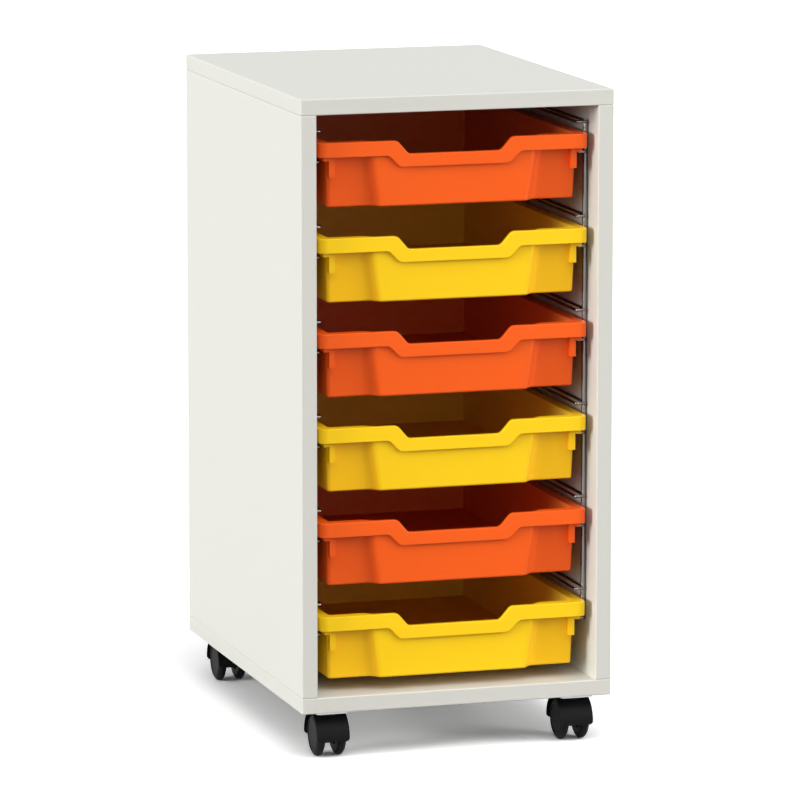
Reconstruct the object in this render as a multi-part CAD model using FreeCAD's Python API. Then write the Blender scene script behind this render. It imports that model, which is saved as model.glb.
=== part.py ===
"""Classroom tray storage unit: a board carcass on castors with six slide-out trays.

Millimetres. The origin is on the floor under the middle of the carcass, +Z is up,
+X is to the right and the open front faces -Y.
"""
import FreeCAD, Part
import math
import os

from FreeCAD import Vector

# Driving dimensions, whole unit
UNIT_WIDTH = 363.0
UNIT_DEPTH = 484.0
CARCASS_HEIGHT = 689.0
CASTOR_HEIGHT = 55.0
BOARD = 18.0

# Boards
EDGING = 2.0
EDGE_ROUND = 1.2
BACK_THICKNESS = 8.0
BACK_INSET = 12.0
GROOVE_DEPTH = 6.0
GROOVE_CLEARANCE = 0.5

# Dowels between the side panels and the top and base panels
DOWEL_RADIUS = 4.0
DOWEL_IN_SIDE = 19.0
DOWEL_IN_FACE = 11.0
DOWEL_HOLE_SPARE = 1.0
DOWEL_SETBACK = 50.0
DOWEL_CHAMFER = 0.8

# Trays
TRAY_COUNT = 6
TRAY_WIDTH = 313.0
TRAY_DEPTH = 427.0
TRAY_HEIGHT = 73.4
TRAY_PITCH = 106.4
TRAY_SETBACK = 11.0
TRAY_WALL = 1.9
TOP_RIM_ABOVE_CARCASS_BASE = 638.4
RIM_BAND = 16.4
RIM_CORNER = 9.5
RIM_EDGE_ROUND = 0.8
BODY_HALF_TOP = 145.5
BODY_HALF_BOTTOM = 143.5
BODY_CORNER = 4.0
BODY_BOTTOM_ROUND = 2.4
RECESS_TOP = 12.0
RECESS_BOTTOM = 16.5
REAR_TOP = 9.5
REAR_BOTTOM = 15.0
PANEL_TOP = 4.0
PANEL_BOTTOM = 5.5
PANEL_HALF_TOP = 95.0
PANEL_HALF_BOTTOM = 85.0
FLANK_RUN = 9.0
FLANK_ARRIS = 7.0
FLANK_FILLET = 9.0

# Finger dip in the middle of the front rim
DIP_TOP_DEPTH = 15.0
DIP_BOTTOM_DEPTH = 13.0
DIP_TOP_HALF = 54.0
DIP_BOTTOM_HALF = 63.5
DIP_RUN = 13.0
DIP_TOP_ROUND = 8.0
DIP_BOTTOM_ROUND = 7.0

# Webs behind the front rim and rails that ride on the lower loops
WEB_INNER = 137.4
WEB_WIDTH = 6.6
WEB_BELOW_RIM_TOP = 39.0
WEB_SETBACK = 7.0
RAIL_OUTER = 150.5
RAIL_BELOW_RIM_TOP = 20.7
RAIL_SETBACK = 6.5

# Wire runner frames
POST_RADIUS = 2.9
POST_X = 160.2
FRONT_POST_SETBACK = 36.2
REAR_POST_SETBACK = 446.5
LOOP_WIRE_RADIUS = 1.6
LOOP_INNER_X = 149.5
LOOP_OUTER_X = 161.8
LOOP_FRONT_SETBACK = 32.4
LOOP_REAR_SETBACK = 450.3
LOOP_CORNER = 3.4
UPPER_LOOP_ABOVE_RIM = 11.0
LOWER_LOOP_BELOW_RIM = 22.6
POST_OVERRUN = 2.4
LUG_THICKNESS = 2.2
LUG_LENGTH = 22.0
LUG_HEIGHT = 11.0
LUG_HOLE_SETBACK = 14.0
LUG_BELOW_RIM = 14.0

# Screws: shank radius, shank length, head radius, head height
RUNNER_SCREW = (1.75, 15.0, 3.4, 2.3)
CASTOR_SCREW = (1.75, 14.0, 3.4, 1.7)
SCREW_HOLE_SPARE = 1.0
CROSS_SLOT_WIDTH = 0.8
CROSS_SLOT_DEPTH = 1.0

# Castors
CASTOR_X = 143.7
FRONT_STEM_SETBACK = 24.4
REAR_STEM_SETBACK = 439.3
CASTOR_TRAIL = 8.0
WHEEL_RADIUS = 24.0
WHEEL_WIDTH = 9.95
WHEEL_GAP = 15.0
OUTER_SHOULDER = 4.5
INNER_SHOULDER = 4.0
WHEEL_FACE_RADIUS = 17.0
WHEEL_BACK_RADIUS = 19.0
WHEEL_FACE_INSET = 0.8
WHEEL_FACE_LIP = 0.6
HUB_RADIUS = 6.5
HUB_HOLLOW_RADIUS = 12.0
HUB_HOLLOW_DEPTH = 5.5
AXLE_RADIUS = 2.5
AXLE_CLEARANCE = 0.05
AXLE_LENGTH = 30.0
HOOD_RADIUS = 27.0
HOOD_THICKNESS = 1.8
HOOD_WIDTH = 38.6
HOOD_FRONT_DROP_ANGLE = 8.0
HOOD_REAR_DROP_ANGLE = 8.5
HOOD_EDGE_ROUND = 1.0
HOOD_CORNER = 5.0
HOOD_WEB = 13.0
AXLE_BOSS_RADIUS = 5.5
SOCKET_BOSS_RADIUS = 7.0
SOCKET_TOP_GAP = 0.1
STEM_RADIUS = 4.0
STEM_CLEARANCE = 0.05
STEM_LENGTH = 21.0
COLLAR_RADIUS = 6.5
COLLAR_HEIGHT = 1.4
PLATE_SIDE = 38.0
PLATE_CORNER = 4.0
PLATE_THICKNESS = 2.5
PLATE_HOLE_SPACING = 28.0
RING_GROOVE_ABOVE_END = 4.0
RING_WIRE = 0.9
RING_OPENING = 4.0

# Worked out from the dimensions above
CARCASS_BOTTOM = CASTOR_HEIGHT
CARCASS_TOP = CASTOR_HEIGHT + CARCASS_HEIGHT
HALF_WIDTH = UNIT_WIDTH / 2
FRONT = -UNIT_DEPTH / 2
REAR = UNIT_DEPTH / 2
INNER_HALF = HALF_WIDTH - BOARD
INNER_BOTTOM = CARCASS_BOTTOM + BOARD
INNER_TOP = CARCASS_TOP - BOARD
AXLE_Z = WHEEL_RADIUS
PLATE_BOTTOM = CARCASS_BOTTOM - PLATE_THICKNESS
COLLAR_BOTTOM = PLATE_BOTTOM - COLLAR_HEIGHT
SIDES = {"left": -1, "right": 1}


# General helpers

def box(x_range, y_range, z_range):
    """Box between two X, two Y and two Z values."""
    size = [high - low for low, high in (x_range, y_range, z_range)]
    return Part.makeBox(*size, Vector(x_range[0], y_range[0], z_range[0]))


def cylinder(radius, length, base, direction=Vector(0, 0, 1)):
    """Cylinder from its base point along a direction."""
    return Part.makeCylinder(radius, length, base, direction)


def rounded_wire(corners, radii, to_point):
    """Closed wire through flat corners, each rounded to its own radius.

    to_point turns a flat (u, v) pair into a Vector.
    """
    pieces = []
    starts = []
    ends = []
    count = len(corners)
    for index, (corner, radius) in enumerate(zip(corners, radii)):
        before = Vector(*corners[index - 1], 0)
        here = Vector(*corner, 0)
        after = Vector(*corners[(index + 1) % count], 0)
        toward_before = (before - here).normalize()
        toward_after = (after - here).normalize()
        half_angle = toward_before.getAngle(toward_after) / 2
        reach = radius / math.tan(half_angle)
        bisector = (toward_before + toward_after).normalize()
        centre = here + bisector * (radius / math.sin(half_angle))
        start = here + toward_before * reach
        end = here + toward_after * reach
        middle = centre - bisector * radius
        starts.append(start)
        ends.append(end)
        pieces.append((start, middle, end))
    edges = []
    for index, arc in enumerate(pieces):
        edges.append(Part.Arc(*[to_point(p.x, p.y) for p in arc]).toShape())
        leave = ends[index]
        arrive = starts[(index + 1) % count]
        edges.append(Part.makeLine(to_point(leave.x, leave.y), to_point(arrive.x, arrive.y)))
    return Part.Wire(edges)


def inset_corners(corners, distance):
    """Corners of a counter-clockwise flat outline moved inwards by a distance."""
    moved = []
    count = len(corners)
    for index, corner in enumerate(corners):
        before = Vector(*corners[index - 1], 0)
        here = Vector(*corner, 0)
        after = Vector(*corners[(index + 1) % count], 0)
        along_in = (here - before).normalize()
        along_out = (after - here).normalize()
        normal_in = Vector(-along_in.y, along_in.x, 0)
        normal_out = Vector(-along_out.y, along_out.x, 0)
        shift = (normal_in + normal_out) * (distance / (1 + normal_in.dot(normal_out)))
        moved.append((here.x + shift.x, here.y + shift.y))
    return moved


def fillet_where(shape, radius, wanted):
    """Round the edges for which wanted(edge) is true."""
    return shape.makeFillet(radius, [edge for edge in shape.Edges if wanted(edge)])


def edge_in_plane(edge, axis, value, tolerance=0.01):
    """Whether both ends of an edge lie at one value of the x, y or z axis."""
    places = [getattr(vertex.Point, axis) for vertex in edge.Vertexes]
    return all(abs(place - value) < tolerance for place in places)


def cross_slot(centre, radius, depth, direction):
    """Cross recess cut into a screw head, its mouth at centre."""
    length = radius * 1.3
    bars = []
    for long_x, long_y in ((length, CROSS_SLOT_WIDTH), (CROSS_SLOT_WIDTH, length)):
        bar = Part.makeBox(long_x, long_y, depth, Vector(-long_x / 2, -long_y / 2, -depth))
        bars.append(bar)
    recess = bars[0].fuse(bars[1])
    recess.Placement = FreeCAD.Placement(centre, FreeCAD.Rotation(Vector(0, 0, 1), direction))
    return recess


def pan_head_screw(seat, outward):
    """Pan-head screw whose head sits on a seat point and faces outward."""
    shank_radius, shank_length, head_radius, head_height = RUNNER_SCREW
    shank = cylinder(shank_radius, shank_length, seat, outward * -1)
    head = cylinder(head_radius, head_height, seat, outward)
    top = seat + outward * head_height
    head = fillet_where(head, head_height * 0.45, lambda edge: edge.CenterOfMass.isEqual(top, 0.01))
    slot = cross_slot(top, head_radius, CROSS_SLOT_DEPTH, outward)
    return head.fuse(shank).removeSplitter().cut(slot)


def countersunk_screw(head_face, outward):
    """Countersunk screw with its flat head face at a point, facing outward."""
    shank_radius, shank_length, head_radius, head_height = CASTOR_SCREW
    inward = outward * -1
    head = Part.makeCone(head_radius, shank_radius, head_height, head_face, inward)
    shank = cylinder(shank_radius, shank_length, head_face, inward)
    slot = cross_slot(head_face, head_radius * 0.7, CROSS_SLOT_DEPTH, outward)
    return head.fuse(shank).removeSplitter().cut(slot)


# Carcass

def dowel_positions():
    """Depths of the three dowels in each corner joint."""
    return (FRONT + DOWEL_SETBACK, 0.0, REAR - DOWEL_SETBACK)


def dowel_joints():
    """Foot points of the dowels at both ends of both side panels."""
    side_middle = HALF_WIDTH - BOARD / 2
    joints = []
    for side in SIDES.values():
        for y in dowel_positions():
            joints.append(Vector(side * side_middle, y, INNER_BOTTOM - DOWEL_IN_FACE))
            joints.append(Vector(side * side_middle, y, INNER_TOP - DOWEL_IN_SIDE))
    return joints


def dowel_holes(spare=DOWEL_HOLE_SPARE):
    """Cutters for the dowel holes, a little longer than the dowels at both ends."""
    length = DOWEL_IN_SIDE + DOWEL_IN_FACE + 2 * spare
    holes = [cylinder(DOWEL_RADIUS, length, foot - Vector(0, 0, spare)) for foot in dowel_joints()]
    return Part.makeCompound(holes)


def make_dowels():
    """The dowels, plain rods with chamfered ends."""
    dowels = []
    for foot in dowel_joints():
        dowel = cylinder(DOWEL_RADIUS, DOWEL_IN_SIDE + DOWEL_IN_FACE, foot)
        rims = [edge for edge in dowel.Edges if len(edge.Vertexes) == 1]
        dowels.append(dowel.makeChamfer(DOWEL_CHAMFER, rims))
    return Part.makeCompound(dowels)


def back_panel_box(slack=0.0):
    """Back panel, or with slack the groove that takes it."""
    reach = GROOVE_DEPTH - GROOVE_CLEARANCE + slack
    rear_face = REAR - BACK_INSET
    return box((-INNER_HALF - reach, INNER_HALF + reach), (rear_face - BACK_THICKNESS, rear_face),
               (INNER_BOTTOM - reach, INNER_TOP + reach))


def make_horizontal_board(z_bottom):
    """Core of the top or base panel, without its edging."""
    half = HALF_WIDTH - EDGING
    board = box((-half, half), (FRONT + EDGING, REAR - EDGING), (z_bottom, z_bottom + BOARD))
    return board.cut(back_panel_box(GROOVE_CLEARANCE)).cut(dowel_holes())


def make_side_board(side):
    """Core of one side panel, eased where it meets the top and base, with its groove and holes."""
    faces = sorted((side * INNER_HALF, side * HALF_WIDTH))
    board = box(faces, (FRONT + EDGING, REAR - EDGING), (INNER_BOTTOM, INNER_TOP))
    board = fillet_where(board, EDGE_ROUND, lambda edge: is_joint_edge(edge, side))
    board = board.cut(back_panel_box(GROOVE_CLEARANCE)).cut(dowel_holes())
    for seat in runner_screw_seats(side):
        depth = RUNNER_SCREW[1] - LUG_THICKNESS + SCREW_HOLE_SPARE
        mouth = Vector(side * INNER_HALF, seat.y, seat.z)
        board = board.cut(cylinder(RUNNER_SCREW[0], depth, mouth, Vector(side, 0, 0)))
    return board


def is_joint_edge(edge, side):
    """Whether an edge is a side panel's outer edge where it meets the top or base panel."""
    if not edge_in_plane(edge, "x", side * HALF_WIDTH):
        return False
    return any(edge_in_plane(edge, "z", height) for height in (INNER_BOTTOM, INNER_TOP))


def make_horizontal_edging(z_bottom):
    """Edging of the top or base panel: full-width front and rear strips, side strips between."""
    z_range = (z_bottom, z_bottom + BOARD)
    strips = []
    for outer, inner in ((FRONT, FRONT + EDGING), (REAR, REAR - EDGING)):
        strip = box((-HALF_WIDTH, HALF_WIDTH), sorted((outer, inner)), z_range)
        strips.append(fillet_where(strip, EDGE_ROUND, lambda edge: not edge_in_plane(edge, "y", inner)))
    for side in SIDES.values():
        x_range = sorted((side * HALF_WIDTH, side * (HALF_WIDTH - EDGING)))
        strip = box(x_range, (FRONT + EDGING, REAR - EDGING), z_range)

        def is_outer_long_edge(edge):
            return edge_in_plane(edge, "x", side * HALF_WIDTH) and edge.Length > BOARD + EDGING

        strips.append(fillet_where(strip, EDGE_ROUND, is_outer_long_edge))
    return Part.makeCompound(strips)


def make_side_edging(side):
    """Front and rear edging strips of one side panel."""
    x_range = sorted((side * INNER_HALF, side * HALF_WIDTH))
    strips = []
    for outer, inner in ((FRONT, FRONT + EDGING), (REAR, REAR - EDGING)):
        strip = box(x_range, sorted((outer, inner)), (INNER_BOTTOM, INNER_TOP))

        def is_eased_edge(edge):
            return edge_in_plane(edge, "y", outer) or is_joint_edge(edge, side)

        strips.append(fillet_where(strip, EDGE_ROUND, is_eased_edge))
    return Part.makeCompound(strips)


# Runner frames

def rim_top(tray_index):
    """Height of a tray's rim above the floor, tray 0 at the top."""
    return CARCASS_BOTTOM + TOP_RIM_ABOVE_CARCASS_BASE - tray_index * TRAY_PITCH


def loop_heights():
    """Centre heights of the upper and lower loop of every tray."""
    heights = []
    for index in range(TRAY_COUNT):
        heights.append(rim_top(index) + UPPER_LOOP_ABOVE_RIM)
        heights.append(rim_top(index) - LOWER_LOOP_BELOW_RIM)
    return heights


def lug_heights():
    """Middle heights of a post's two fixing lugs."""
    return (rim_top(0) - LUG_BELOW_RIM, rim_top(TRAY_COUNT - 2) - LUG_BELOW_RIM)


def lug_direction(setback):
    """Lugs point to the middle of the depth: +1 from a front post, -1 from a rear one."""
    return 1 if setback == FRONT_POST_SETBACK else -1


def runner_screw_seats(side):
    """Points on the lugs' inner faces where the screw heads sit."""
    seats = []
    for setback in (FRONT_POST_SETBACK, REAR_POST_SETBACK):
        y = FRONT + setback + lug_direction(setback) * LUG_HOLE_SETBACK
        for z in lug_heights():
            seats.append(Vector(side * (INNER_HALF - LUG_THICKNESS), y, z))
    return seats


def post_span():
    """Bottom and top height of the posts."""
    heights = loop_heights()
    return min(heights) - POST_OVERRUN, max(heights) + POST_OVERRUN


def make_post(side, setback):
    """One upright post with its two drilled fixing lugs."""
    bottom, top = post_span()
    y = FRONT + setback
    post = cylinder(POST_RADIUS, top - bottom, Vector(side * POST_X, y, bottom))
    x_range = sorted((side * INNER_HALF, side * (INNER_HALF - LUG_THICKNESS)))
    y_range = sorted((y, y + lug_direction(setback) * LUG_LENGTH))
    for z in lug_heights():
        post = post.fuse(box(x_range, y_range, (z - LUG_HEIGHT / 2, z + LUG_HEIGHT / 2)))
    for seat in runner_screw_seats(side):
        hole = cylinder(RUNNER_SCREW[0], BOARD, seat - Vector(side, 0, 0), Vector(side, 0, 0))
        post = post.cut(hole)
    return post.removeSplitter()


def make_loop(side, z):
    """One closed wire loop: a round bar along a rounded rectangle."""
    near, far = FRONT + LOOP_FRONT_SETBACK, FRONT + LOOP_REAR_SETBACK
    inner, outer = LOOP_INNER_X, LOOP_OUTER_X
    corners = [(inner, near), (outer, near), (outer, far), (inner, far)]
    path = rounded_wire(corners, [LOOP_CORNER] * 4, lambda u, v: Vector(side * u, v, z))
    start = path.Edges[0].Vertexes[0].Point
    along = path.Edges[0].tangentAt(path.Edges[0].FirstParameter)
    section = Part.Wire(Part.makeCircle(LOOP_WIRE_RADIUS, start, along))
    return Part.Wire(path.Edges).makePipeShell([section], True, True)


def make_loops(side):
    """All the loops of one frame, cut to meet the posts that they are welded to."""
    posts = [make_post(side, setback) for setback in (FRONT_POST_SETBACK, REAR_POST_SETBACK)]
    loops = [make_loop(side, z).cut(posts) for z in loop_heights()]
    return Part.makeCompound(loops)


def make_runner_screws(side):
    """The four screws of one frame."""
    outward = Vector(-side, 0, 0)
    return Part.makeCompound([pan_head_screw(seat, outward) for seat in runner_screw_seats(side)])


# Trays, drawn about their own origin: front rim at y = 0, underside at z = 0

def tray_corners(level):
    """Outer plan of the tray body, level 0 at the underside and 1 at the rim."""
    def at_level(bottom, top):
        return bottom + (top - bottom) * level

    recess = at_level(RECESS_BOTTOM, RECESS_TOP)
    panel = at_level(PANEL_BOTTOM, PANEL_TOP)
    rear = TRAY_DEPTH - at_level(REAR_BOTTOM, REAR_TOP)
    body_half = at_level(BODY_HALF_BOTTOM, BODY_HALF_TOP)
    panel_half = at_level(PANEL_HALF_BOTTOM, PANEL_HALF_TOP)
    flank_half = panel_half + FLANK_RUN
    return [
        (body_half, recess), (body_half, rear), (-body_half, rear), (-body_half, recess),
        (-flank_half, recess), (-panel_half, panel), (panel_half, panel), (flank_half, recess),
    ]


def tray_wire(level, z, inset=0.0):
    """Plan wire of the tray body at a height, moved inwards by inset."""
    corners = inset_corners(tray_corners(level), inset)
    outer = BODY_CORNER - inset
    convex = FLANK_ARRIS - inset
    concave = FLANK_FILLET + inset
    radii = [outer, outer, outer, outer, concave, convex, convex, concave]
    return rounded_wire(corners, radii, lambda u, v: Vector(u, v, z))


def tray_body(inset, z_bottom, z_top):
    """Tapered solid between two heights, its bottom edge rounded."""
    wires = [tray_wire(z / TRAY_HEIGHT, z, inset) for z in (z_bottom, z_top)]
    body = Part.makeLoft(wires, True, True)
    return fillet_where(body, BODY_BOTTOM_ROUND - inset, lambda edge: edge_in_plane(edge, "z", z_bottom))


def rim_block(inset, z_bottom, z_top):
    """Prism of the rim's outer plan, moved inwards by inset."""
    half = TRAY_WIDTH / 2 - inset
    corners = [(half, inset), (half, TRAY_DEPTH - inset), (-half, TRAY_DEPTH - inset), (-half, inset)]
    wire = rounded_wire(corners, [RIM_CORNER - inset] * 4, lambda u, v: Vector(u, v, z_bottom))
    return Part.Face(wire).extrude(Vector(0, 0, z_top - z_bottom))


def dip_prism(half_width, top, depth, radius, y_range, overrun):
    """Trapezoid with rounded corners that narrows downwards, as a prism along Y."""
    wide = half_width + DIP_RUN
    far = wide + 4 * radius
    corners = [
        (-far, top + overrun), (-far, top), (-wide, top), (-half_width, top - depth),
        (half_width, top - depth), (wide, top), (far, top), (far, top + overrun),
    ]
    radii = [0.01, 0.01, radius, radius, radius, radius, 0.01, 0.01]
    wire = rounded_wire(corners, radii, lambda u, v: Vector(u, y_range[0], v))
    return Part.Face(wire).extrude(Vector(0, y_range[1] - y_range[0], 0))


def finger_dip():
    """Cutter for the finger dip in the middle of the rim's front."""
    return dip_prism(DIP_TOP_HALF, TRAY_HEIGHT, DIP_TOP_DEPTH, DIP_TOP_ROUND, (-1, RECESS_BOTTOM), 2)


def make_rim():
    """Turned-down rim with its finger dip and lip, open underneath, its edges rounded."""
    top = TRAY_HEIGHT
    band_bottom = top - RIM_BAND
    lip = dip_prism(DIP_BOTTOM_HALF, band_bottom, DIP_BOTTOM_DEPTH, DIP_BOTTOM_ROUND,
                    (0, TRAY_WALL), TRAY_WALL)
    rim = rim_block(0, band_bottom, top).fuse(lip).cut(finger_dip()).removeSplitter()

    def is_front_or_top_edge(edge):
        middle = edge.valueAt((edge.FirstParameter + edge.LastParameter) / 2)
        on_front = edge_in_plane(edge, "y", 0) and abs(middle.y) < 0.01
        on_top = edge_in_plane(edge, "z", top) and abs(middle.z - top) < 0.01
        return on_front or on_top

    rim = fillet_where(rim, RIM_EDGE_ROUND, is_front_or_top_edge)
    return rim.cut(rim_block(TRAY_WALL, band_bottom - 1, top - TRAY_WALL))


def make_tray_shape():
    """One moulded tray: tapered body, rim with a finger dip, webs behind it and side rails."""
    top = TRAY_HEIGHT
    flange_under = top - TRAY_WALL
    web_end = RECESS_BOTTOM + BODY_CORNER / 2
    dip_flange = dip_prism(DIP_TOP_HALF + TRAY_WALL / 2, flange_under, DIP_TOP_DEPTH, DIP_TOP_ROUND,
                           (TRAY_WALL / 2, PANEL_TOP + TRAY_WALL), TRAY_WALL / 2)
    body = tray_body(0, 0, top).fuse(dip_flange).cut(finger_dip())
    shape = make_rim().fuse(body)

    for side in SIDES.values():
        web_x = sorted((side * WEB_INNER, side * (WEB_INNER + WEB_WIDTH)))
        web = box(web_x, (WEB_SETBACK, web_end), (top - WEB_BELOW_RIM_TOP, flange_under))
        rail_x = sorted((side * BODY_HALF_BOTTOM, side * RAIL_OUTER))
        rail = box(rail_x, (RAIL_SETBACK, TRAY_DEPTH - RAIL_SETBACK),
                   (top - RAIL_BELOW_RIM_TOP, flange_under))
        shape = shape.fuse([web, rail])
    return shape.cut(tray_body(TRAY_WALL, TRAY_WALL, top + 1)).removeSplitter()


def make_tray(tray_shape, index):
    """A tray at rest in its runners."""
    tray = tray_shape.copy()
    tray.translate(Vector(0, FRONT + TRAY_SETBACK, rim_top(index) - TRAY_HEIGHT))
    return tray


# Castors, drawn about the stem's axis at x = 0, y = 0 with the floor at z = 0

def castor_plate_holes():
    """Plan positions of the four screw holes in a castor plate."""
    half = PLATE_HOLE_SPACING / 2
    return [Vector(x, y, 0) for x in (-half, half) for y in (-half, half)]


def castor_plate():
    """Square steel plate with four countersunk holes and the riveted stem's hole."""
    half = PLATE_SIDE / 2
    corners = [(-half, -half), (half, -half), (half, half), (-half, half)]
    wire = rounded_wire(corners, [PLATE_CORNER] * 4, lambda u, v: Vector(u, v, PLATE_BOTTOM))
    plate = Part.Face(wire).extrude(Vector(0, 0, PLATE_THICKNESS))
    plate = plate.cut(cylinder(STEM_RADIUS, PLATE_THICKNESS, Vector(0, 0, PLATE_BOTTOM)))
    for hole in castor_plate_holes():
        shank_radius, _, head_radius, head_height = CASTOR_SCREW
        mouth = hole + Vector(0, 0, PLATE_BOTTOM)
        plate = plate.cut(cylinder(shank_radius, PLATE_THICKNESS, mouth))
        plate = plate.cut(Part.makeCone(head_radius, shank_radius, head_height, mouth))
    return plate


def stem_end():
    """Height of the stem's lower end."""
    return COLLAR_BOTTOM - STEM_LENGTH


def castor_stem():
    """Stem with its collar and the groove for the grip ring."""
    stem = cylinder(STEM_RADIUS, CARCASS_BOTTOM - stem_end(), Vector(0, 0, stem_end()))
    stem = fillet_where(stem, 1.0, lambda edge: edge.CenterOfMass.z < stem_end() + 0.01)
    collar = cylinder(COLLAR_RADIUS, COLLAR_HEIGHT, Vector(0, 0, COLLAR_BOTTOM))
    groove_z = stem_end() + RING_GROOVE_ABOVE_END
    groove = cylinder(STEM_RADIUS + 1, RING_WIRE, Vector(0, 0, groove_z))
    groove = groove.cut(cylinder(STEM_RADIUS - RING_WIRE, RING_WIRE, Vector(0, 0, groove_z)))
    return stem.fuse(collar).cut(groove).removeSplitter()


def castor_grip_ring():
    """Open spring ring that sits in the stem's groove."""
    base = Vector(0, 0, stem_end() + RING_GROOVE_ABOVE_END)
    ring = cylinder(STEM_RADIUS, RING_WIRE, base)
    ring = ring.cut(cylinder(STEM_RADIUS - RING_WIRE, RING_WIRE, base))
    gap = box((-RING_OPENING / 2, RING_OPENING / 2), (0, STEM_RADIUS + 1), (base.z, base.z + RING_WIRE))
    return ring.cut(gap)


def hood_edge_height(reach, drop_angle):
    """Height of the hood's lower edge at a distance from the axle."""
    return AXLE_Z - reach * math.tan(math.radians(drop_angle))


def castor_sector(radius, width):
    """Round bar along the axle, kept above the hood's front and rear lower edges."""
    centre = Vector(-width / 2, CASTOR_TRAIL, AXLE_Z)
    bar = cylinder(radius, width, centre, Vector(1, 0, 0))
    reach = HOOD_RADIUS + 1
    below = [
        Vector(-width, CASTOR_TRAIL, AXLE_Z),
        Vector(-width, CASTOR_TRAIL - reach, hood_edge_height(reach, HOOD_FRONT_DROP_ANGLE)),
        Vector(-width, CASTOR_TRAIL - reach, AXLE_Z - 2 * reach),
        Vector(-width, CASTOR_TRAIL + reach, AXLE_Z - 2 * reach),
        Vector(-width, CASTOR_TRAIL + reach, hood_edge_height(reach, HOOD_REAR_DROP_ANGLE)),
    ]
    cutter = Part.Face(Part.makePolygon(below + [below[0]])).extrude(Vector(2 * width, 0, 0))
    return bar.cut(cutter)


def hood_corner_cutters():
    """Cutters that round the four lower corners of the hood's shell."""
    cutters = []
    near = HOOD_WIDTH / 2 - HOOD_CORNER
    for end, angle in ((-1, HOOD_FRONT_DROP_ANGLE), (1, HOOD_REAR_DROP_ANGLE)):
        bottom = hood_edge_height(HOOD_RADIUS, angle)
        y_range = sorted((CASTOR_TRAIL + end * HOOD_RADIUS / 2, CASTOR_TRAIL + end * (HOOD_RADIUS + 1)))
        for side in SIDES.values():
            x_range = sorted((side * near, side * (HOOD_WIDTH / 2 + 1)))
            block = box(x_range, y_range, (bottom - 1, bottom + HOOD_CORNER))
            centre = Vector(side * near, y_range[0], bottom + HOOD_CORNER)
            length = y_range[1] - y_range[0]
            cutters.append(block.cut(cylinder(HOOD_CORNER, length, centre, Vector(0, 1, 0))))
    return cutters


def castor_hood():
    """Curved hood over both wheels, with the middle web that holds the axle and the stem."""
    shell = castor_sector(HOOD_RADIUS, HOOD_WIDTH)

    def is_outer_rim(edge):
        return edge_in_plane(edge, "x", HOOD_WIDTH / 2) or edge_in_plane(edge, "x", -HOOD_WIDTH / 2)

    def on_outer_radius(edge):
        middle = edge.valueAt((edge.FirstParameter + edge.LastParameter) / 2)
        distance = math.hypot(middle.y - CASTOR_TRAIL, middle.z - AXLE_Z)
        return is_outer_rim(edge) and abs(distance - HOOD_RADIUS) < 0.01

    shell = fillet_where(shell, HOOD_EDGE_ROUND, on_outer_radius)
    inner_radius = HOOD_RADIUS - HOOD_THICKNESS
    room = cylinder(inner_radius, HOOD_WIDTH + 2, Vector(-HOOD_WIDTH / 2 - 1, CASTOR_TRAIL, AXLE_Z),
                    Vector(1, 0, 0))
    shell = shell.cut([room] + hood_corner_cutters())
    web = castor_sector(inner_radius + HOOD_THICKNESS / 2, HOOD_WEB)
    axle_start = Vector(-HOOD_WEB / 2, CASTOR_TRAIL, AXLE_Z)
    axle_boss = cylinder(AXLE_BOSS_RADIUS, HOOD_WEB, axle_start, Vector(1, 0, 0))
    boss_top = COLLAR_BOTTOM - SOCKET_TOP_GAP
    boss_base = AXLE_Z + inner_radius - HOOD_THICKNESS
    socket_boss = cylinder(SOCKET_BOSS_RADIUS, boss_top - boss_base, Vector(0, 0, boss_base))
    wheel_room = wheel_clearance()
    hood = shell.fuse([web, axle_boss, socket_boss.cut(wheel_room)])
    socket_end = stem_end() - SCREW_HOLE_SPARE
    socket = cylinder(STEM_RADIUS + STEM_CLEARANCE, boss_top - socket_end, Vector(0, 0, socket_end))
    axle_hole = cylinder(AXLE_RADIUS, HOOD_WEB, axle_start, Vector(1, 0, 0))
    return hood.cut([socket, axle_hole]).removeSplitter()


def wheel_clearance():
    """Room under the hood's shell on both sides of its web, where the wheels turn."""
    inner_radius = HOOD_RADIUS - HOOD_THICKNESS
    rooms = []
    for side in SIDES.values():
        start = Vector(side * HOOD_WEB / 2, CASTOR_TRAIL, AXLE_Z)
        rooms.append(cylinder(inner_radius, HOOD_WIDTH / 2, start, Vector(side, 0, 0)))
    return Part.makeCompound(rooms)


def castor_axle():
    """Axle pin through the hood's web and both hubs."""
    start = Vector(-AXLE_LENGTH / 2, CASTOR_TRAIL, AXLE_Z)
    return cylinder(AXLE_RADIUS, AXLE_LENGTH, start, Vector(1, 0, 0))


def shoulder_middle(start, end, centre_height):
    """Point halfway along the arc from start to end about a centre below start at that height.

    Points are (distance along the axle, radius) pairs; end is where the arc meets a face squarely.
    """
    radius = abs(end[0] - start[0])
    rise = start[1] - centre_height
    reach = (radius ** 2 + rise ** 2) / (2 * radius)
    outward = 1 if end[0] > start[0] else -1
    centre = (end[0] - outward * reach, centre_height)
    angle = math.atan2(start[1] - centre[1], outward * (start[0] - centre[0])) / 2
    return (centre[0] + outward * reach * math.cos(angle), centre[1] + reach * math.sin(angle))


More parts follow.
